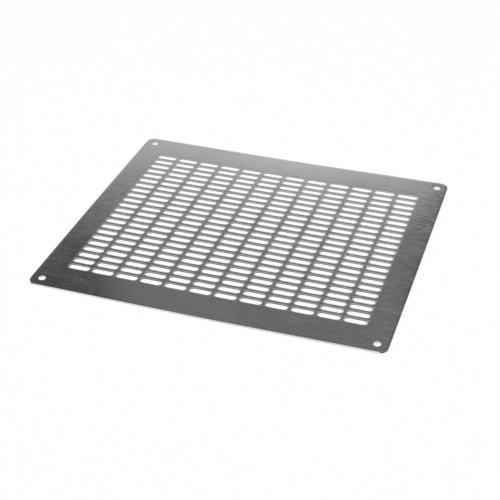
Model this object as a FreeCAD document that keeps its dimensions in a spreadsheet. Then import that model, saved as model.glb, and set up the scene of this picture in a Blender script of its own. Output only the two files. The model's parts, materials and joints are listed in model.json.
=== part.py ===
"""Slotted ventilation panel: one flat sheet, blanked, drilled for screws and punched.

The sheet lies flat, its underside on Z = 0 and its middle over the origin. X runs along
the slots, which is the panel's longer way, and Y runs across them. Millimetres throughout.
"""
import FreeCAD, Part
import math
import os
import Sketcher

# Every size that can be set by itself, written once: alias, value, what it is.
SIZES = [
    ("sheet_length", 320.0, "blank, along the slots"),
    ("sheet_width", 280.0, "blank, across the slots"),
    ("sheet_thickness", 1.5, "gauge of the sheet"),
    ("corner_radius", 8.0, "rounded corners of the blank"),
    ("screw_diameter", 6.0, "screw that fixes each corner"),
    ("screw_clearance", 0.5, "how much wider a hole is than its screw"),
    ("screw_inset", 10.0, "screw's axis from both edges of its corner"),
    ("slot_length", 20.0, "over the round ends"),
    ("slot_width", 7.0, "also twice the radius of the round ends"),
    ("end_bridge", 2.9, "metal left between slots end to end"),
    ("side_bridge", 3.0, "metal left between slots side by side"),
    ("end_border", 24.0, "least plain sheet beyond the ends of the slots"),
    ("side_border", 30.0, "least plain sheet beyond the outer rows"),
]

# Formulas on those sizes. As many slots are punched as fit between the plain borders,
# and their field is centred on the sheet. A span is from the first of a row to its last.
COLUMN_PITCH = "(Sizes.slot_length + Sizes.end_bridge)"
ROW_PITCH = "(Sizes.slot_width + Sizes.side_bridge)"
COLUMNS = f"floor((Sizes.sheet_length - 2 * Sizes.end_border + Sizes.end_bridge) / {COLUMN_PITCH})"
ROWS = f"floor((Sizes.sheet_width - 2 * Sizes.side_border + Sizes.side_bridge) / {ROW_PITCH})"
SLOT_SPAN_X = f"(({COLUMNS} - 1) * {COLUMN_PITCH})"
SLOT_SPAN_Y = f"(({ROWS} - 1) * {ROW_PITCH})"
SLOT_STRAIGHT = "(Sizes.slot_length - Sizes.slot_width)"
HOLE_DIAMETER = "(Sizes.screw_diameter + Sizes.screw_clearance)"
HOLE_SPAN_X = "(Sizes.sheet_length - 2 * Sizes.screw_inset)"
HOLE_SPAN_Y = "(Sizes.sheet_width - 2 * Sizes.screw_inset)"
HOLES_EACH_WAY = "2"

# How a sketch names its origin, and the points of a line or an arc.
ORIGIN = (-1, 1)
START, END, CENTRE = 1, 2, 3

UP = FreeCAD.Vector(0, 0, 1)
QUARTER_TURN = math.pi / 2
VOLUME_TOLERANCE = 1e-6


def make_sizes(doc):
    """Lay the driving sizes out in a spreadsheet, one to a row."""
    sizes = doc.addObject("Spreadsheet::Sheet", "Sizes")
    for row, (alias, value, note) in enumerate(SIZES, start=1):
        sizes.set(f"A{row}", alias)
        sizes.set(f"B{row}", str(value))
        sizes.set(f"C{row}", note)
        sizes.setAlias(f"B{row}", alias)
    doc.recompute()
    return sizes


def datum(body, role):
    """The body's own origin plane or axis that has this role."""
    return next(item for item in body.Origin.OriginFeatures if item.Role == role)


def flat_sketch(body, name, height):
    """An empty sketch parallel to XY, at a height given as a formula."""
    sketch = body.newObject("Sketcher::SketchObject", name)
    sketch.AttachmentSupport = [(datum(body, "XY_Plane"), "")]
    sketch.MapMode = "FlatFace"
    sketch.setExpression("AttachmentOffset.Base.z", height)
    return sketch


def add_arc(sketch, x, y, radius, first_quarter, quarters):
    """An arc about (x, y) that starts some quarter turns from +X and runs on for more."""
    start = first_quarter * QUARTER_TURN
    end = start + quarters * QUARTER_TURN
    circle = Part.Circle(FreeCAD.Vector(x, y, 0), UP, radius)
    return sketch.addGeometry(Part.ArcOfCircle(circle, start, end))


def join_smoothly(sketch, arcs):
    """Close a loop of equal arcs with a straight side between each and the next."""
    sides = []
    for arc, following in zip(arcs, arcs[1:] + arcs[:1]):
        start = sketch.getPoint(arc, END)
        end = sketch.getPoint(following, START)
        side = sketch.addGeometry(Part.LineSegment(start, end))
        sketch.addConstraint(Sketcher.Constraint("Tangent", arc, END, side, START))
        sketch.addConstraint(Sketcher.Constraint("Tangent", side, END, following, START))
        sides.append(side)
    for arc in arcs[1:]:
        sketch.addConstraint(Sketcher.Constraint("Equal", arcs[0], arc))
    return sides


def dimension(sketch, kind, name, where, formula):
    """A named dimension between the given points, driven by its formula."""
    nominal = sketch.evalExpression(formula)
    index = sketch.addConstraint(Sketcher.Constraint(kind, *where, nominal))
    sketch.renameConstraint(index, name)
    sketch.setExpression(f"Constraints.{name}", formula)


def cut_blank(body, sizes):
    """The blank: a rectangle of sheet with rounded corners, centred on the origin."""
    sketch = flat_sketch(body, "BlankOutline", "0")
    radius = sizes.corner_radius
    reach_x = sizes.sheet_length / 2 - radius
    reach_y = sizes.sheet_width / 2 - radius
    arcs = [
        add_arc(sketch, reach_x, reach_y, radius, 0, 1),
        add_arc(sketch, -reach_x, reach_y, radius, 1, 1),
        add_arc(sketch, -reach_x, -reach_y, radius, 2, 1),
        add_arc(sketch, reach_x, -reach_y, radius, 3, 1),
    ]
    far, left, near, right = join_smoothly(sketch, arcs)
    for side in (far, near):
        sketch.addConstraint(Sketcher.Constraint("Horizontal", side))
    for side in (left, right):
        sketch.addConstraint(Sketcher.Constraint("Vertical", side))
    about_middle = (arcs[0], CENTRE, arcs[2], CENTRE, *ORIGIN)
    sketch.addConstraint(Sketcher.Constraint("Symmetric", *about_middle))
    dimension(sketch, "Radius", "corner_radius", (arcs[0],), "Sizes.corner_radius")
    dimension(sketch, "DistanceX", "sheet_length", (left, START, right, START), "Sizes.sheet_length")
    dimension(sketch, "DistanceY", "sheet_width", (near, START, far, START), "Sizes.sheet_width")

    blank = body.newObject("PartDesign::Pad", "Blank")
    blank.Profile = sketch
    blank.setExpression("Length", "Sizes.sheet_thickness")


def repeat(body, name, feature, sketch, along_x, along_y):
    """Repeat a feature on a grid from its place: a span and a count along X, then along Y."""
    grid = body.newObject("PartDesign::LinearPattern", name)
    grid.Originals = [feature]
    grid.Direction = (sketch, ["H_Axis"])
    grid.Direction2 = (sketch, ["V_Axis"])
    for suffix, (span, count) in (("", along_x), ("2", along_y)):
        setattr(grid, "Mode" + suffix, "Extent")
        grid.setExpression("Length" + suffix, span)
        grid.setExpression("Occurrences" + suffix, count)
    body.Tip = grid
    return grid


def drill_corners(doc, body):
    """A plain clearance hole for a screw near each corner."""
    sketch = flat_sketch(body, "FirstHoleOutline", "Sizes.sheet_thickness")
    to_middle_x = f"{HOLE_SPAN_X} / 2"
    to_middle_y = f"{HOLE_SPAN_Y} / 2"
    hole_x = -sketch.evalExpression(to_middle_x)
    hole_y = -sketch.evalExpression(to_middle_y)
    radius = sketch.evalExpression(HOLE_DIAMETER) / 2
    rim = sketch.addGeometry(Part.Circle(FreeCAD.Vector(hole_x, hole_y, 0), UP, radius))
    dimension(sketch, "Diameter", "hole_diameter", (rim,), HOLE_DIAMETER)
    dimension(sketch, "DistanceX", "to_middle_x", (rim, CENTRE, *ORIGIN), to_middle_x)
    dimension(sketch, "DistanceY", "to_middle_y", (rim, CENTRE, *ORIGIN), to_middle_y)
    doc.recompute()

    hole = body.newObject("PartDesign::Hole", "FirstHole")
    hole.Profile = sketch
    hole.DepthType = "ThroughAll"
    hole.DrillPoint = "Flat"
    hole.setExpression("Diameter", HOLE_DIAMETER)
    doc.recompute()
    repeat(body, "Holes", hole, sketch, (HOLE_SPAN_X, HOLES_EACH_WAY), (HOLE_SPAN_Y, HOLES_EACH_WAY))


def punch_slots(body, sizes):
    """The field of slots: the one at its near left, repeated in columns and rows."""
    sketch = flat_sketch(body, "FirstSlotOutline", "Sizes.sheet_thickness")
    to_middle_x = f"({SLOT_SPAN_X} + {SLOT_STRAIGHT}) / 2"
    to_middle_y = f"{SLOT_SPAN_Y} / 2"
    radius = sizes.slot_width / 2
    left_x = -sketch.evalExpression(to_middle_x)
    right_x = left_x + sketch.evalExpression(SLOT_STRAIGHT)
    row_y = -sketch.evalExpression(to_middle_y)
    right_end = add_arc(sketch, right_x, row_y, radius, 3, 2)
    left_end = add_arc(sketch, left_x, row_y, radius, 1, 2)
    far, near = join_smoothly(sketch, [right_end, left_end])
    sketch.addConstraint(Sketcher.Constraint("Horizontal", far))
    dimension(sketch, "Radius", "end_radius", (left_end,), "Sizes.slot_width / 2")
    dimension(sketch, "DistanceX", "straight", (left_end, CENTRE, right_end, CENTRE), SLOT_STRAIGHT)
    dimension(sketch, "DistanceX", "to_middle_x", (left_end, CENTRE, *ORIGIN), to_middle_x)
    dimension(sketch, "DistanceY", "to_middle_y", (left_end, CENTRE, *ORIGIN), to_middle_y)

    slot = body.newObject("PartDesign::Pocket", "FirstSlot")
    slot.Profile = sketch
    slot.Type = "ThroughAll"
    return repeat(body, "Slots", slot, sketch, (SLOT_SPAN_X, COLUMNS), (SLOT_SPAN_Y, ROWS))


def expected_volume(sizes, hole_count, slot_count):
    """The finished sheet's volume: the blank less its corners, holes and slots."""
    blank = sizes.sheet_length * sizes.sheet_width - (4 - math.pi) * sizes.corner_radius ** 2
    hole = math.pi / 4 * float(sizes.evalExpression(HOLE_DIAMETER)) ** 2
    slot = float(sizes.evalExpression(SLOT_STRAIGHT)) * sizes.slot_width
    slot += math.pi / 4 * sizes.slot_width ** 2
    return (blank - hole_count * hole - slot_count * slot) * sizes.sheet_thickness


def check(doc, body, volume):
    """Stop before anything is written if a feature failed or cut too little."""
    for item in doc.Objects:
        if "Invalid" in item.State or "Error" in item.State:
            raise RuntimeError(f"{item.Name} failed: {item.State}")
    shape = body.Shape
    if shape.isNull() or not shape.isValid() or len(shape.Solids) != 1:
        raise RuntimeError(f"{body.Label} is not one valid solid")
    if abs(shape.Volume - volume) > VOLUME_TOLERANCE * volume:
        raise RuntimeError(f"{body.Label} has {shape.Volume:.3f} mm3 and should have {volume:.3f}")


def main():
    doc = FreeCAD.newDocument("SlottedPanel")
    sizes = make_sizes(doc)
    body = doc.addObject("PartDesign::Body", "SlottedPanel")
    body.Label = "slotted_panel"
    body.Placement = FreeCAD.Placement(FreeCAD.Vector(0, 0, 0), FreeCAD.Rotation())
    cut_blank(body, sizes)
    drill_corners(doc, body)
    slots = punch_slots(body, sizes)
    doc.recompute()
    slot_count = slots.Occurrences * slots.Occurrences2
    check(doc, body, expected_volume(sizes, int(HOLES_EACH_WAY) ** 2, slot_count))

    os.makedirs("parts", exist_ok=True)
    body.Shape.exportStep(f"parts/{body.Label}.step")
    print(f"{body.Label}: {slots.Occurrences} by {slots.Occurrences2} slots, {body.Shape.Volume:.0f} mm3")


main()
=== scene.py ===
# %% [markdown]
# # A slotted ventilation panel
# The object is one flat sheet of aluminium. It was blanked to size, its corners were
# rounded, a screw hole was made near each corner, and a press punched the field of
# slots. The measured part is loaded first and never changed: everything here is built
# around it, in metres, in the same place.

# %% Load the measured part
import json
import math

import bmesh
import bpy
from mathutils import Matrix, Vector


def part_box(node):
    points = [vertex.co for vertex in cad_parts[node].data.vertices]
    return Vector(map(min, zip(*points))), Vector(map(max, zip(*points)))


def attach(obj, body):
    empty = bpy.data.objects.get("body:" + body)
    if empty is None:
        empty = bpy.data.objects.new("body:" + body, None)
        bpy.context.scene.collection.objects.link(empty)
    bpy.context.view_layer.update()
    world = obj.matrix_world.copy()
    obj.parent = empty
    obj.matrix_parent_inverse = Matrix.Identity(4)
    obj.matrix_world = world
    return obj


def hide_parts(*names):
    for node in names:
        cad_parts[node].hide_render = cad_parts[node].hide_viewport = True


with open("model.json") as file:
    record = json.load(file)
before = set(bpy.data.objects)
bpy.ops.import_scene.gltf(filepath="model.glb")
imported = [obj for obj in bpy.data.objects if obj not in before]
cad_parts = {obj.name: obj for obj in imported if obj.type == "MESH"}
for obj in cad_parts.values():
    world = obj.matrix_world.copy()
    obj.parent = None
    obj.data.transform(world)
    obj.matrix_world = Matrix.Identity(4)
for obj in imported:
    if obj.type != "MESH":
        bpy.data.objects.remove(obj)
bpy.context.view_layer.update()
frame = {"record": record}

# %% [markdown]
# ## Sizes
# The overall sizes and the screw holes come from the measured part and its record.
# The slots and corners aren't in the record, so their few sizes are written once here.
# A face counts as lying when the height of its normal is above one limit, and as standing
# when it is below another. Between them are only the narrow rounded rims.

# %% Sizes
MM = 0.001
NODE = "slotted_panel"
low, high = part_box(NODE)
HALF_X, HALF_Y, GAUGE = high.x, high.y, high.z - low.z
screws = next(mount for mount in frame["record"]["mounts"] if mount["name"] == "corner_screws")
HOLE_X = screws["dims"]["spacing_x_mm"] / 2 * MM
HOLE_Y = screws["dims"]["spacing_y_mm"] / 2 * MM
HOLE_RADIUS = screws["dims"]["hole_r_mm"] * MM
CORNER_RADIUS = 8.0 * MM
SLOT_LENGTH = 20.0 * MM
SLOT_WIDTH = 7.0 * MM
PITCH_X = SLOT_LENGTH + 2.9 * MM
PITCH_Y = SLOT_WIDTH + 3.0 * MM
COLUMNS, ROWS = 12, 22
FIELD_X = COLUMNS / 2 * PITCH_X
FIELD_Y = ROWS / 2 * PITCH_Y
RIM_ROUND = 0.1 * MM
SAME_PLACE = 0.01 * MM
X, Y = 0, 1
LYING, STANDING = 0.9, 0.5
print(f"half sheet {HALF_X / MM:.1f} x {HALF_Y / MM:.1f} mm")
print(f"half field {FIELD_X / MM:.1f} x {FIELD_Y / MM:.1f} mm")

# %% [markdown]
# ## A few helpers
# An operator acts on whatever is selected, so each step starts by choosing exactly what
# it works on: by place, because a modelled edge has no name.

# %% Helpers
def alone(piece):
    """Make a piece the only selected object, and the active one."""
    bpy.ops.object.select_all(action="DESELECT")
    piece.select_set(True)
    bpy.context.view_layer.objects.active = piece


def pick(piece, test):
    """In edit mode, select only the vertices whose place passes a test, and what lies between them."""
    bpy.ops.mesh.select_mode(type="VERT")
    bpy.ops.mesh.select_all(action="DESELECT")
    cage = bmesh.from_edit_mesh(piece.data)
    for vertex in cage.verts:
        vertex.select = test(vertex.co)
    cage.select_flush(True)
    bmesh.update_edit_mesh(piece.data)


def pick_edges(piece, test):
    """In edit mode, select only the edges whose middle passes a test."""
    bpy.ops.mesh.select_mode(type="EDGE")
    bpy.ops.mesh.select_all(action="DESELECT")
    cage = bmesh.from_edit_mesh(piece.data)
    for edge in cage.edges:
        edge.select = test((edge.verts[0].co + edge.verts[1].co) / 2)
    cage.select_flush(True)
    bmesh.update_edit_mesh(piece.data)


def near(value, wanted):
    """Whether a place is the wanted one, within the rounding of the mesh."""
    return abs(value - wanted) < SAME_PLACE


def flatten(axis, place):
    """Bring the selection onto the plane where that axis has that value."""
    scale = [0 if index == axis else 1 for index in range(3)]
    centre = [place if index == axis else 0 for index in range(3)]
    bpy.ops.transform.resize(value=scale, center_override=centre)


def push_out(step):
    """Extrude the selected edges by a step."""
    bpy.ops.mesh.extrude_region_move(TRANSFORM_OT_translate={"value": step})


def apply_modifier(piece, kind, **settings):
    """Add a modifier with these settings and make its result the mesh."""
    modifier = piece.modifiers.new(kind, kind)
    for name, value in settings.items():
        setattr(modifier, name, value)
    alone(piece)
    bpy.ops.object.modifier_apply(modifier=modifier.name)


# %% [markdown]
# ## One slot
# A slot is a rectangle with half-round ends. A quarter of it is drawn: a quarter circle,
# and its top point pulled along to the middle of the slot. The rim is then extruded
# outwards and pressed flat against the lines halfway to the next slots, which gives the
# metal of one tile clean four-sided faces. Two mirrors make the whole tile. Cutting the
# slots out of a slab with a boolean would be quicker to write, but it leaves long thin
# faces, and those can't be bowed or have their rims rounded evenly.

# %% One slot and the metal round it
END_CENTRE = (SLOT_LENGTH - SLOT_WIDTH) / 2
END_STEPS = 16

bpy.ops.object.select_all(action="DESELECT")
bpy.ops.mesh.primitive_circle_add(vertices=END_STEPS, radius=SLOT_WIDTH / 2, location=(END_CENTRE, 0, 0))
panel = bpy.context.object
panel.name = "panel_sheet"
bpy.ops.object.transform_apply(location=True)
bpy.ops.object.mode_set(mode="EDIT")
pick(panel, lambda co: co.x < END_CENTRE - SAME_PLACE or co.y < -SAME_PLACE)
bpy.ops.mesh.delete(type="VERT")
pick(panel, lambda co: near(co.x, END_CENTRE))
bpy.ops.mesh.extrude_vertices_move(TRANSFORM_OT_translate={"value": (-END_CENTRE, 0, 0)})

bpy.ops.mesh.select_all(action="SELECT")
reach = PITCH_Y / SLOT_WIDTH * math.sqrt(2)
bpy.ops.mesh.extrude_edges_move()
bpy.ops.transform.resize(value=(reach, reach, 1), center_override=(END_CENTRE, 0, 0))
pick(panel, lambda co: co.x < -SAME_PLACE)
flatten(X, 0)
pick(panel, lambda co: co.y > PITCH_Y / 2 - SAME_PLACE)
flatten(Y, PITCH_Y / 2)
pick(panel, lambda co: co.x > (SLOT_LENGTH + PITCH_X) / 4)
flatten(X, PITCH_X / 2)
bpy.ops.object.mode_set(mode="OBJECT")
apply_modifier(panel, "MIRROR", use_axis=(True, True, False), merge_threshold=SAME_PLACE)
print("one tile:", len(panel.data.polygons), "faces")

# %% [markdown]
# ## A quarter of the field
# The tile moves to the first column and row from the middle of the sheet, and two arrays
# repeat it. They weld each tile to the next.

# %% Columns and rows
panel.location = (PITCH_X / 2, PITCH_Y / 2, 0)
alone(panel)
bpy.ops.object.transform_apply(location=True)
for count, step in ((COLUMNS // 2, (PITCH_X, 0, 0)), (ROWS // 2, (0, PITCH_Y, 0))):
    apply_modifier(panel, "ARRAY", count=count, use_relative_offset=False, use_constant_offset=True,
                   constant_offset_displace=step, use_merge_vertices=True, merge_threshold=SAME_PLACE)
print("quarter of the field:", len(panel.data.polygons), "faces")

# %% [markdown]
# ## The plain border
# Outside the slots the sheet is plain. The outer edges of the field are extruded in steps
# to the edges of the sheet. They leave out a square round the screw hole, because the
# rounded corner and the hole need faces of their own.

# %% Plain border of the quarter
HOLE_STEPS = 32
SQUARE = 2 * (HALF_X - HOLE_X)
SQUARE_STEPS = HOLE_STEPS // 4
SQUARE_X = HALF_X - SQUARE
SQUARE_Y = HALF_Y - SQUARE
STEP = SQUARE / SQUARE_STEPS

bpy.ops.object.mode_set(mode="EDIT")
pick(panel, lambda co: near(co.x, FIELD_X))
push_out((SQUARE_X - FIELD_X, 0, 0))
for _ in range(SQUARE_STEPS):
    push_out((STEP, 0, 0))
pick(panel, lambda co: near(co.y, FIELD_Y))
push_out((0, SQUARE_Y - FIELD_Y, 0))
pick(panel, lambda co: near(co.y, SQUARE_Y) and co.x < SQUARE_X + SAME_PLACE)
for _ in range(SQUARE_STEPS):
    push_out((0, STEP, 0))
bpy.ops.object.mode_set(mode="OBJECT")
print("with its border:", len(panel.data.polygons), "faces")

# %% [markdown]
# ## The corner with its screw hole
# A square has its outer corner rounded by a vertex bevel. Its sides are divided to match
# the border's steps, so the outline and the circle of the hole have the same number of
# points, and one bridge fills the metal between them.

# %% Corner with a screw hole
bpy.ops.object.select_all(action="DESELECT")
bpy.ops.mesh.primitive_plane_add(size=SQUARE, location=(HOLE_X, HOLE_Y, 0))
corner = bpy.context.object
bpy.ops.object.transform_apply(location=True)
bpy.ops.object.mode_set(mode="EDIT")
pick(corner, lambda co: near(co.x, HALF_X) and near(co.y, HALF_Y))
bpy.ops.mesh.bevel(offset=CORNER_RADIUS, offset_type="OFFSET", segments=SQUARE_STEPS, affect="VERTICES")
bpy.ops.mesh.select_all(action="SELECT")
bpy.ops.mesh.delete(type="ONLY_FACE")
pick_edges(corner, lambda middle: near(middle.x, SQUARE_X) or near(middle.y, SQUARE_Y))
bpy.ops.mesh.subdivide(number_cuts=SQUARE_STEPS - 1)
pick_edges(corner, lambda middle: near(middle.x, HALF_X) or near(middle.y, HALF_Y))
bpy.ops.mesh.subdivide(number_cuts=SQUARE_STEPS // 2 - 1)
bpy.ops.mesh.primitive_circle_add(vertices=HOLE_STEPS, radius=HOLE_RADIUS, location=(HOLE_X, HOLE_Y, 0))
bpy.ops.mesh.select_all(action="SELECT")
bpy.ops.mesh.bridge_edge_loops(number_cuts=3, interpolation="LINEAR")
bpy.ops.object.mode_set(mode="OBJECT")
print("corner:", len(corner.data.polygons), "faces")

# %% [markdown]
# ## The whole flat sheet
# The corner is welded to the border, and two mirrors turn the quarter into the sheet. A
# mirrored half faces the wrong way at first, so the normals are made to agree before the
# sheet gets its thickness.

# %% Join, weld and mirror
alone(panel)
corner.select_set(True)
bpy.ops.object.join()
bpy.ops.object.mode_set(mode="EDIT")
bpy.ops.mesh.select_all(action="SELECT")
bpy.ops.mesh.remove_doubles(threshold=SAME_PLACE)
bpy.ops.object.mode_set(mode="OBJECT")
apply_modifier(panel, "MIRROR", use_axis=(True, True, False), merge_threshold=SAME_PLACE)
bpy.ops.object.mode_set(mode="EDIT")
bpy.ops.mesh.select_all(action="SELECT")
bpy.ops.mesh.normals_make_consistent(inside=False)
bpy.ops.object.mode_set(mode="OBJECT")
if panel.data.polygons[0].normal.z < 0:
    panel.data.flip_normals()
outline = bmesh.new()
outline.from_mesh(panel.data)
rims = sum(edge.is_boundary for edge in outline.edges)
outline.free()
print("flat sheet:", len(panel.data.polygons), "faces,", rims, "rim edges")

# %% [markdown]
# ## A sheet that isn't quite flat
# Punching hundreds of slots leaves a thin sheet slightly bowed: the far and near edges
# sag in the middle, one end more than the other, and two corners lift. It is one or two
# millimetres over the whole sheet, but a bright surface shows it. The bow is a smooth
# curve, which is easiest to give as a formula for the height, and the sheet is then set
# down so that its lowest points touch the floor.

# %% Bow the sheet
SAG = 0.51 * MM
LIFT = 0.88 * MM


def bow(x, y):
    """Height of the bowed sheet above the flat one, before it is set down."""
    across, along = x / HALF_X, y / HALF_Y
    return along ** 2 * (LIFT * across - SAG * (1 + math.cos(math.pi * across)))


bpy.ops.object.mode_set(mode="EDIT")
cage = bmesh.from_edit_mesh(panel.data)
SET_DOWN = -min(bow(vertex.co.x, vertex.co.y) for vertex in cage.verts)
for vertex in cage.verts:
    vertex.co.z = bow(vertex.co.x, vertex.co.y) + SET_DOWN
bmesh.update_edit_mesh(panel.data)
bpy.ops.object.mode_set(mode="OBJECT")
print(f"bowed by {(max(v.co.z for v in panel.data.vertices)) / MM:.2f} mm in all")

# %% [markdown]
# ## Thickness and soft rims
# Solidify grows the sheet upwards to its real gauge. The punch comes from above and drags
# the metal down a little before it shears, so the upper rims are soft, and the lower ones,
# where the slug broke away, stay sharp. A narrow bevel on the upper rims alone stands for
# that. A Bevel modifier would take every rim, so the upper ones are selected in edit mode.
# Weighted normals keep the wide faces flat and let the bevel carry the turn.

# %% Thickness and rims
apply_modifier(panel, "SOLIDIFY", thickness=GAUGE, offset=1, use_even_offset=True)
bpy.ops.object.mode_set(mode="EDIT")
bpy.ops.mesh.select_mode(type="EDGE")
bpy.ops.mesh.select_all(action="DESELECT")
cage = bmesh.from_edit_mesh(panel.data)
for edge in cage.edges:
    upward = sorted(face.normal.z for face in edge.link_faces)
    edge.select = abs(upward[0]) < STANDING and upward[1] > LYING
bmesh.update_edit_mesh(panel.data)
bpy.ops.mesh.bevel(offset=RIM_ROUND, offset_type="OFFSET", segments=1, affect="EDGES")
bpy.ops.object.mode_set(mode="OBJECT")
alone(panel)
bpy.ops.object.shade_smooth()
apply_modifier(panel, "WEIGHTED_NORMAL", weight=90, keep_sharp=False)
triangles = sum(len(face.vertices) - 2 for face in panel.data.polygons)
print("sheet:", len(panel.data.polygons), "faces,", triangles, "triangles")

# %% [markdown]
# ## What the finishes need to know
# Three things about a point can't be told from its coordinates on a bowed sheet: whether
# it is on the rim of a slot, how far up a wall it is, and how light its wall is painted.
# Each is kept on the mesh as an attribute. The mesh has a ring of points on every rim and
# the next ring a little way in, so a value of one on the rims and zero elsewhere fades
# inwards by itself. The wall tone is painted light and shade. The long sides get a painted
# reflection of the white floor and are the lightest, and the drilled screw holes come next.
# The ends and the corners get painted shade and are the darkest. The slots are in between,
# with painted shade that makes them darker towards the near rows.

# %% Mark the rims, the height in the wall and the painted wall tone
# These tones are painted light: a painted reflection on the long sides, painted shade on the ends, the
# corners and the slots, and more painted shade towards the near rows.
LONG_SIDES_PAINTED_REFLECTION, DRILLED, SLOT_WALLS_PAINTED_SHADE, ENDS_AND_CORNERS_PAINTED_SHADE = 1.0, 0.75, 0.355, 0.0
PAINTED_SHADE_TO_NEAR_ROWS = 0.155
AT_RIM = 2 * RIM_ROUND


def inside_outline(x, y):
    """How far inside the outline of the sheet a place is."""
    over_x, over_y = abs(x) - (HALF_X - CORNER_RADIUS), abs(y) - (HALF_Y - CORNER_RADIUS)
    if over_x > 0 and over_y > 0:
        return CORNER_RADIUS - math.hypot(over_x, over_y)
    return CORNER_RADIUS - max(over_x, over_y)


def painted_tone_of_wall(x, y):
    """The painted tone of the wall at this place, from zero to one: painted reflection on the long sides,
    painted shade on the ends, corners and slots.
    """
    if math.hypot(abs(x) - HOLE_X, abs(y) - HOLE_Y) < HOLE_RADIUS + AT_RIM:
        return DRILLED
    # Painted shade: the slot walls are darker than the long sides, and darker still towards the near rows.
    if inside_outline(x, y) > AT_RIM:
        return SLOT_WALLS_PAINTED_SHADE + PAINTED_SHADE_TO_NEAR_ROWS * y / HALF_Y
    return LONG_SIDES_PAINTED_REFLECTION if abs(y) > HALF_Y - AT_RIM else ENDS_AND_CORNERS_PAINTED_SHADE


painted_wall_tone = [painted_tone_of_wall(v.co.x, v.co.y) for v in panel.data.vertices]
on_rim = [0.0] * len(painted_wall_tone)
for face in panel.data.polygons:
    if abs(face.normal.z) < LYING:
        for index in face.vertices:
            on_rim[index] = 1.0 if ENDS_AND_CORNERS_PAINTED_SHADE < painted_wall_tone[index] < DRILLED else 0.0
in_wall = [(v.co.z - SET_DOWN - bow(v.co.x, v.co.y)) / GAUGE for v in panel.data.vertices]
for name, values in (("rim", on_rim), ("in_wall", in_wall), ("painted_wall_tone", painted_wall_tone)):
    panel.data.attributes.new(name, "FLOAT", "POINT").data.foreach_set("value", values)
print(f"points on slot rims: {int(sum(on_rim))} of {len(on_rim)}")
print(f"height in the wall: {min(in_wall):.2f} to {max(in_wall):.2f}")

# %% [markdown]
# ## Which faces are sheared
# The wide faces keep the finish of the rolling mill. The walls of the slots, the holes and
# the outside edge were sheared, and are duller and rougher. The two are told apart by
# their normals, and each gets its own material slot.

# %% Two finishes on one sheet
mill_finish = bpy.data.materials.new("mill_finish")
sheared_edge = bpy.data.materials.new("sheared_edge")
panel.data.materials.append(mill_finish)
panel.data.materials.append(sheared_edge)
for face in panel.data.polygons:
    face.material_index = 1 if abs(face.normal.z) < STANDING else 0
print("sheared faces:", sum(face.material_index for face in panel.data.polygons))

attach(panel, "root")
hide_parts(NODE)

# %% [markdown]
# ## Building node trees
# A finish is a tree of nodes. The first helper adds one node, sets its inputs and joins it
# to others in one line, so that each tree below reads from top to bottom. The next two are
# short ways to the nodes used most: Math and Map Range. An effect that several finishes
# use is kept in a node group, and the helpers of the second cell make groups and place them.

# %% Node helpers
def node(tree, kind, inputs=(), **settings):
    """Add a node. Each input is set to a value, or joined if it is given another node's output."""
    added = tree.nodes.new(kind)
    for name, value in settings.items():
        setattr(added, name, value)
    for name, value in dict(inputs).items():
        if isinstance(value, bpy.types.NodeSocket):
            tree.links.new(value, added.inputs[name])
        else:
            added.inputs[name].default_value = value
    return added


def maths(tree, operation, *values):
    """The result of one Math node."""
    return node(tree, "ShaderNodeMath", enumerate(values), operation=operation).outputs[0]


def spread(tree, value, low, high, start=0.0, end=1.0, way="LINEAR"):
    """Go from start to end while a value goes from low to high."""
    inputs = {"Value": value, "From Min": low, "From Max": high, "To Min": start, "To Max": end}
    return node(tree, "ShaderNodeMapRange", inputs, interpolation_type=way).outputs[0]


# %% Helpers for node groups
def new_group(name, inputs, outputs):
    """Start a group that reads a Vector and these numbers. Return it with its two end nodes."""
    group = bpy.data.node_groups.new(name, "ShaderNodeTree")
    group.interface.new_socket("Vector", in_out="INPUT", socket_type="NodeSocketVector")
    for socket, value in inputs.items():
        number = group.interface.new_socket(socket, in_out="INPUT", socket_type="NodeSocketFloat")
        number.default_value = value
    for socket in outputs:
        group.interface.new_socket(socket, in_out="OUTPUT", socket_type="NodeSocketFloat")
    return group, group.nodes.new("NodeGroupInput").outputs, group.nodes.new("NodeGroupOutput").inputs


def place_group(tree, group, inputs):
    """Put a node group in a tree with its own values, and return its outputs."""
    return node(tree, "ShaderNodeGroup", inputs, node_tree=group).outputs


def stretched(group, vector, length, width):
    """Measure a place in units of a length along X and a width across it."""
    unit = node(group, "ShaderNodeCombineXYZ", {"X": length, "Y": width, "Z": width}).outputs[0]
    return node(group, "ShaderNodeVectorMath", {0: vector, 1: unit}, operation="DIVIDE").outputs[0]


def noise(group, vector, **settings):
    """Noise at a place, from zero to one."""
    inputs = {"Vector": vector, "Scale": 1.0}
    inputs.update({name.title(): value for name, value in settings.items()})
    return node(group, "ShaderNodeTexNoise", inputs).outputs["Fac"]


# %% [markdown]
# ## Rolling grain
# A rolling mill prints the fine ridges of its rolls on the sheet, as short lines along the
# rolling direction, here the long side. Noise stretched along X gives such lines. Two of
# them, one coarse and one fine, keep it from looking like a repeating stripe. An image
# texture could be sharper, but noise has no seams and no resolution.

# %% Group: rolling grain
rolling_grain, given, made = new_group(
    "rolling_grain", {"Line Length": 12.0, "Line Width": 0.8}, ["Lines", "Fine Lines"])
in_lines = stretched(rolling_grain, given["Vector"], given["Line Length"], given["Line Width"])
rolling_grain.links.new(noise(rolling_grain, in_lines, detail=2.0), made["Lines"])
rolling_grain.links.new(noise(rolling_grain, in_lines, scale=3.3, detail=3.0), made["Fine Lines"])
print("rolling grain:", len(rolling_grain.nodes), "nodes")

# %% [markdown]
# ## Clouding
# Rolling oil and handling leave a bare sheet faintly clouded. This group gives round soft
# patches of any size: large ones for the clouds, and small ones for the mottle of the skin.

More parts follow.
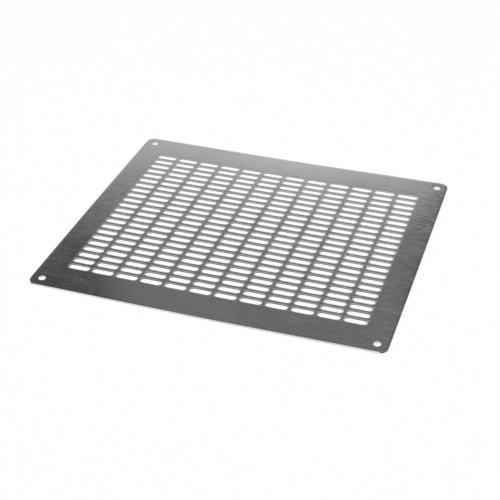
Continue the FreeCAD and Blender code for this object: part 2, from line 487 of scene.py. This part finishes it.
# %% Group: clouding
clouding, given, made = new_group("clouding", {"Patch Size": 20.0}, ["Cloud"])
in_patches = node(clouding, "ShaderNodeVectorMath", {0: given["Vector"], 1: given["Patch Size"]},
                  operation="DIVIDE").outputs[0]
clouding.links.new(noise(clouding, in_patches, detail=4.0, roughness=0.55), made["Cloud"])
print("clouding:", len(clouding.nodes), "nodes")

# %% [markdown]
# ## Handling streaks
# Sheets slide over each other in the stack and over the bed of the press, and that leaves
# long thin bright streaks, some here and none there. Very long noise is cut off so that
# only its crests show, and a cloud decides where they may lie.

# %% Group: handling streaks
CRESTS = (0.56, 0.74)
handling_streaks, given, made = new_group(
    "handling_streaks", {"Streak Length": 60.0, "Streak Width": 2.0, "Share": 0.4}, ["Streak"])
in_streaks = stretched(handling_streaks, given["Vector"], given["Streak Length"], given["Streak Width"])
long_noise = noise(handling_streaks, in_streaks, detail=1.5)
crests = spread(handling_streaks, long_noise, *CRESTS, way="SMOOTHSTEP")
where = place_group(handling_streaks, clouding,
                    {"Vector": given["Vector"], "Patch Size": given["Streak Length"]})
edge_of_patch = maths(handling_streaks, "SUBTRACT", 1.0, given["Share"])
allowed = maths(handling_streaks, "GREATER_THAN", where["Cloud"], edge_of_patch)
handling_streaks.links.new(maths(handling_streaks, "MULTIPLY", crests, allowed), made["Streak"])
print("handling streaks:", len(handling_streaks.nodes), "nodes")

# %% [markdown]
# ## Rubbed rims
# The rims are polished by gloves and packing. The group sharpens the rim attribute, so
# that only the metal next to a rim counts, and breaks it up with a little noise. A low
# sharpness reaches further in, which suits the skin that the punch has drawn.

# %% Group: rubbed rims
BROKEN_PATCH = 3.0
BROKEN = (0.35, 0.65)
LEAST_WORN = 0.4
rubbed_rim, given, made = new_group("rubbed_rim", {"Rim": 0.0, "Sharpness": 6.0}, ["Wear"])
close = maths(rubbed_rim, "POWER", given["Rim"], given["Sharpness"])
broken = place_group(rubbed_rim, clouding, {"Vector": given["Vector"], "Patch Size": BROKEN_PATCH})
patchy = spread(rubbed_rim, broken["Cloud"], *BROKEN, start=LEAST_WORN)
rubbed_rim.links.new(maths(rubbed_rim, "MULTIPLY", close, patchy), made["Wear"])
print("node groups:", sorted(group.name for group in bpy.data.node_groups))

# %% [markdown]
# ## The mill finish
# Bare aluminium is a metal, so nearly all its look is reflection: a light neutral colour,
# Metallic at one, and roughness low enough to mirror a room softly. Every mask adds its
# own share to the brightness and to the roughness, so the shares can be compared in one
# place. The mottle has a large share of the brightness and a small one of the roughness.
# The grain lines also change the slope, through a Bump node, and the rims are brighter.
# Round the slots the punch has drawn the skin rough. All of it reads Object coordinates
# in millimetres.

# %% Helpers for the two finishes
MIDDLE = (0.3, 0.7)
WHOLE = (0.0, 1.0)
BUMP_DEPTH = 0.1 * MM


def start(material):
    """Return a material's tree, its Principled shader, and the place on the piece in millimetres."""
    material.use_nodes = True
    tree = material.node_tree
    shader = next(found for found in tree.nodes if found.type == "BSDF_PRINCIPLED")
    shader.inputs["Metallic"].default_value = 1.0
    metres = node(tree, "ShaderNodeTexCoord").outputs["Object"]
    in_mm = node(tree, "ShaderNodeVectorMath", {0: metres, "Scale": 1 / MM}, operation="SCALE")
    return tree, shader, in_mm.outputs[0]


def add_up(tree, *values):
    """The sum of several numbers."""
    total = values[0]
    for value in values[1:]:
        total = maths(tree, "ADD", total, value)
    return total


def add_shares(tree, *shares):
    """The sum of masks, each given as the mask, the range it is read over, and its share."""
    return add_up(tree, *(spread(tree, mask, *limits, end=share) for mask, limits, share in shares))


def tint(tree, mask, dark, light):
    """A neutral colour that goes from one grey to another as the mask goes from zero to one."""
    ramp = node(tree, "ShaderNodeValToRGB", {"Fac": mask})
    ramp.color_ramp.elements[0].color = (dark, dark, dark, 1)
    ramp.color_ramp.elements[1].color = (light, light, light, 1)
    return ramp.outputs["Color"]


def finish(tree, shader, colour, roughness, height, bumpiness):
    """Join colour, roughness and a bump to the Principled shader."""
    bump = node(tree, "ShaderNodeBump", {"Height": height, "Strength": bumpiness, "Distance": BUMP_DEPTH})
    tree.links.new(colour, shader.inputs["Base Color"])
    tree.links.new(roughness, shader.inputs["Roughness"])
    tree.links.new(bump.outputs["Normal"], shader.inputs["Normal"])


# %% Masks of the mill finish
tree, shader, place = start(mill_finish)
grain = place_group(tree, rolling_grain, {"Vector": place, "Line Length": 8.0, "Line Width": 1.6})
lines, fine_lines = grain["Lines"], grain["Fine Lines"]
mottle = place_group(tree, clouding, {"Vector": place, "Patch Size": 2.2})["Cloud"]
cloud = place_group(tree, clouding, {"Vector": place, "Patch Size": 30.0})["Cloud"]
streak = place_group(tree, handling_streaks, {"Vector": place, "Streak Length": 60.0,
                                              "Streak Width": 3.0, "Share": 0.55})["Streak"]
rim = node(tree, "ShaderNodeAttribute", attribute_name="rim").outputs["Fac"]
rubbed = place_group(tree, rubbed_rim, {"Vector": place, "Rim": rim, "Sharpness": 8.0})["Wear"]
drawn = place_group(tree, rubbed_rim, {"Vector": place, "Rim": rim, "Sharpness": 1.5})["Wear"]
print("mill finish: 6 masks in", len(tree.nodes), "nodes")

# %% Material: mill finish
LEAST_ROUGH = 0.07
bright = add_shares(tree, (lines, MIDDLE, 0.2), (fine_lines, MIDDLE, 0.15), (mottle, MIDDLE, 0.4),
                    (cloud, MIDDLE, 0.1), (streak, WHOLE, 0.12), (rubbed, WHOLE, 0.3),
                    (drawn, WHOLE, 0.45))
rough = add_shares(tree, (mottle, MIDDLE, 0.03), (cloud, MIDDLE, 0.04), (lines, MIDDLE, 0.06),
                   (streak, WHOLE, 0.06), (drawn, WHOLE, 0.32))
ridges = add_shares(tree, (fine_lines, WHOLE, 0.6), (lines, WHOLE, 0.4))
finish(tree, shader, tint(tree, bright, dark=0.59, light=0.91), maths(tree, "ADD", rough, LEAST_ROUGH),
       ridges, bumpiness=0.05)
print("mill finish:", len(tree.nodes), "nodes")

# %% [markdown]
# ## The sheared walls
# A punch leaves two zones in a wall: a smooth bright band where it cut, under the top rim,
# and a rough dull band below, where the metal broke. Both carry upright marks from the
# punch. The same grain group serves, turned by a Mapping node so that its lines stand up.
# How light a wall is comes from the painted wall tone attribute: painted reflection on the long sides and
# painted shade on the ends, corners and slots.

# %% Material: sheared walls
BAND_EDGE = (0.7, 0.78)
tree, shader, place = start(sheared_edge)
upright = node(tree, "ShaderNodeMapping", {"Vector": place, "Rotation": (0, math.pi / 2, 0)}).outputs[0]
marks = place_group(tree, rolling_grain, {"Vector": upright, "Line Length": 4.0, "Line Width": 0.35})
in_wall = node(tree, "ShaderNodeAttribute", attribute_name="in_wall").outputs["Fac"]
painted_wall_tone = node(tree, "ShaderNodeAttribute", attribute_name="painted_wall_tone").outputs["Fac"]
ragged = add_up(tree, in_wall, spread(tree, marks["Lines"], *WHOLE, end=0.3))
cut_band = spread(tree, ragged, *BAND_EDGE)
# The painted wall tone puts painted reflection and painted shade into the base colour; the cut band and
# the fine marks are the walls' own tones.
bright = add_up(tree, painted_wall_tone, spread(tree, cut_band, *WHOLE, end=0.08),
                spread(tree, marks["Fine Lines"], *MIDDLE, end=0.12))
rough = spread(tree, cut_band, *WHOLE, start=0.55, end=0.3)
finish(tree, shader, tint(tree, bright, dark=0.02, light=0.86), rough, marks["Fine Lines"],
       bumpiness=0.3)
print("sheared walls:", len(tree.nodes), "nodes")

# %% [markdown]
# ## Floor
# The sheet lies on a white floor. For the camera, and for reflections, most of the floor's
# brightness is an emission of one, which is plain white. The rest is ordinary diffuse
# paint, and that part keeps the sheet's shadow.

# %% White floor
FLOOR_SIZE = 8
WHITE_SHARE = 0.96
PAINT = 0.85
bpy.ops.object.select_all(action="DESELECT")
bpy.ops.mesh.primitive_plane_add(size=FLOOR_SIZE, location=(0, 0, 0))
floor = bpy.context.object
floor.name = "floor"
white_floor = bpy.data.materials.new("white_floor")
white_floor.use_nodes = True
floor.data.materials.append(white_floor)
tree = white_floor.node_tree
tree.nodes.clear()
paint = node(tree, "ShaderNodeBsdfDiffuse", {"Color": (PAINT, PAINT, PAINT, 1)})
white = node(tree, "ShaderNodeEmission", {"Color": (1, 1, 1, 1), "Strength": 1.0})
path = node(tree, "ShaderNodeLightPath").outputs
seen = add_up(tree, path["Is Camera Ray"], path["Is Glossy Ray"], path["Is Transmission Ray"])
share = spread(tree, seen, *WHOLE, end=WHITE_SHARE)
mixed = node(tree, "ShaderNodeMixShader", {0: share, 1: paint.outputs[0], 2: white.outputs[0]})
node(tree, "ShaderNodeOutputMaterial", {"Surface": mixed.outputs[0]})
print(f"floor: {FLOOR_SIZE} m square, {WHITE_SHARE:.0%} plain white to the camera")

# %% [markdown]
# ## Studio
# A metal sheet shows the room, so the room is what gives it its tones: a white backdrop
# round the table, pale walls above it up to about thirty degrees, a mid-grey ceiling that
# gets lighter overhead, and a dark screen standing at the far left. The world paints it by
# direction: elevation from the height of the direction, and azimuth from its two flat
# coordinates. The walls' brightness and top edge change a little along the far side, and a
# colour ramp holds their levels, because it runs straight from one stop to the next.

# %% Directions, and two ways to read them
world = bpy.data.worlds.new("studio_room")
bpy.context.scene.world = world
world.use_nodes = True
tree = world.node_tree
background = next(found for found in tree.nodes if found.type == "BACKGROUND")
looking = node(tree, "ShaderNodeTexCoord").outputs["Generated"]
direction = node(tree, "ShaderNodeSeparateXYZ", {0: looking}).outputs
azimuth = maths(tree, "ARCTAN2", direction["Y"], direction["X"])
elevation = maths(tree, "ARCSINE", direction["Z"])


def between(value, first, last, **settings):
    """Go from zero to one, or from start to end, while an angle goes from first to last degrees."""
    return spread(tree, value, math.radians(first), math.radians(last), **settings)


def by_azimuth(stops):
    """A level that runs straight from stop to stop, each given as degrees and level."""
    (first, first_level), *inner, (last, last_level) = stops
    ramp = node(tree, "ShaderNodeValToRGB", {"Fac": between(azimuth, first, last)})
    marks = ramp.color_ramp.elements
    marks[0].color = (first_level, first_level, first_level, 1)
    marks[1].color = (last_level, last_level, last_level, 1)
    for angle, level in inner:
        marks.new((angle - first) / (last - first)).color = (level, level, level, 1)
    return ramp.outputs["Color"]


def blend(share, first, second):
    """Go from one level to another as a share goes from zero to one."""
    return node(tree, "ShaderNodeMix", {0: share, 2: first, 3: second}, data_type="FLOAT").outputs[0]


# %% [markdown]
# ## Levels of the room
# Brightnesses are plain numbers and angles are degrees. Each pair of angles is where a
# change starts and ends.

# %% Levels of the room
OVERHEAD, SCREEN, BACKDROP = 0.6, 0.073, 1.0
WALLS = [(86, 0.75), (96, 0.92), (101, 0.76), (106, 0.706), (111, 0.68), (116, 0.51), (130, 0.6)]
CEILING = [(92, 0.17), (97.5, 0.07), (99, 0.192), (102, 0.185), (106, 0.169), (111, 0.19), (116, 0.208),
           (130, 0.17)]
TOP_EDGES = [(96, 28.8), (98.3, 29.9), (100.5, 29.7), (103, 28.8), (107, 28.4), (111, 27.9), (116, 28.4)]
SOFT_EDGE = (-0.3, 1.7)
OVERHEAD_RISES = (42, 62)
SCREEN_LEFT, SCREEN_RIGHT, SCREEN_FOOT = (140, 150), (116.1, 117.8), (30.4, 33.7)
BACKDROP_ENDS = (6, 12)
print("levels:", len(WALLS), "of the walls,", len(CEILING), "of the ceiling,", len(TOP_EDGES), "top edges")

# %% Paint the room
wall = by_azimuth(WALLS)
ceiling = by_azimuth(CEILING)
top_edge = by_azimuth([(angle, math.radians(edge)) for angle, edge in TOP_EDGES])
over_edge = maths(tree, "SUBTRACT", elevation, top_edge)

ceiling = blend(between(elevation, *OVERHEAD_RISES, way="SMOOTHSTEP"), ceiling, OVERHEAD)
room = blend(between(over_edge, *SOFT_EDGE, way="SMOOTHSTEP"), wall, ceiling)
left_side = between(azimuth, *SCREEN_LEFT, start=1.0, end=0.0)
sides = maths(tree, "MULTIPLY", between(azimuth, *SCREEN_RIGHT), left_side)
screen = maths(tree, "MULTIPLY", sides, between(elevation, *SCREEN_FOOT))
room = blend(screen, room, SCREEN)
room = blend(between(elevation, *BACKDROP_ENDS), BACKDROP, room)
tree.links.new(room, background.inputs["Color"])
background.inputs["Strength"].default_value = 1.0
print("world:", len(tree.nodes), "nodes")

# %% [markdown]
# ## Lamp
# A square soft lamp overhead gives the even light in which colours look as they are
# written. The sheet would mirror it as a glaring white patch when it is seen from above,
# so the lamp is left out of reflections, and the lighter ceiling stands in its place.

# %% Overhead soft lamp
LAMP_HEIGHT, LAMP_SIZE, LAMP_POWER = 1.7, 2.0, 25.0
bpy.ops.object.select_all(action="DESELECT")
bpy.ops.object.light_add(type="AREA", location=(0, 0, LAMP_HEIGHT))
lamp = bpy.context.object
lamp.name = "overhead_softbox"
lamp.data.shape = "SQUARE"
lamp.data.size = LAMP_SIZE
lamp.data.energy = LAMP_POWER
lamp.visible_glossy = False
print(f"lamp: {LAMP_SIZE} m square, {LAMP_HEIGHT} m up, {LAMP_POWER} W")

# %% [markdown]
# ## Camera
# A long lens looks down at the sheet from one side, from a little over a metre away, which
# keeps its opposite edges nearly parallel.

# %% Camera
STAND = (279.26 * MM, -846.12 * MM, 574.24 * MM + SET_DOWN)
TURN = (56.2660, -0.0234, 18.3575)
FILM_WIDTH, LENS = 36.0, 81.861
NEAREST_SEEN = 50 * MM
bpy.ops.object.camera_add(location=STAND, rotation=[math.radians(angle) for angle in TURN])
camera = bpy.context.object
camera.data.sensor_width = FILM_WIDTH
camera.data.lens = LENS
camera.data.clip_start = NEAREST_SEEN
bpy.context.scene.camera = camera
bpy.context.scene.view_settings.view_transform = "Standard"
print(f"camera: {math.hypot(*STAND):.2f} m from the middle of the sheet")
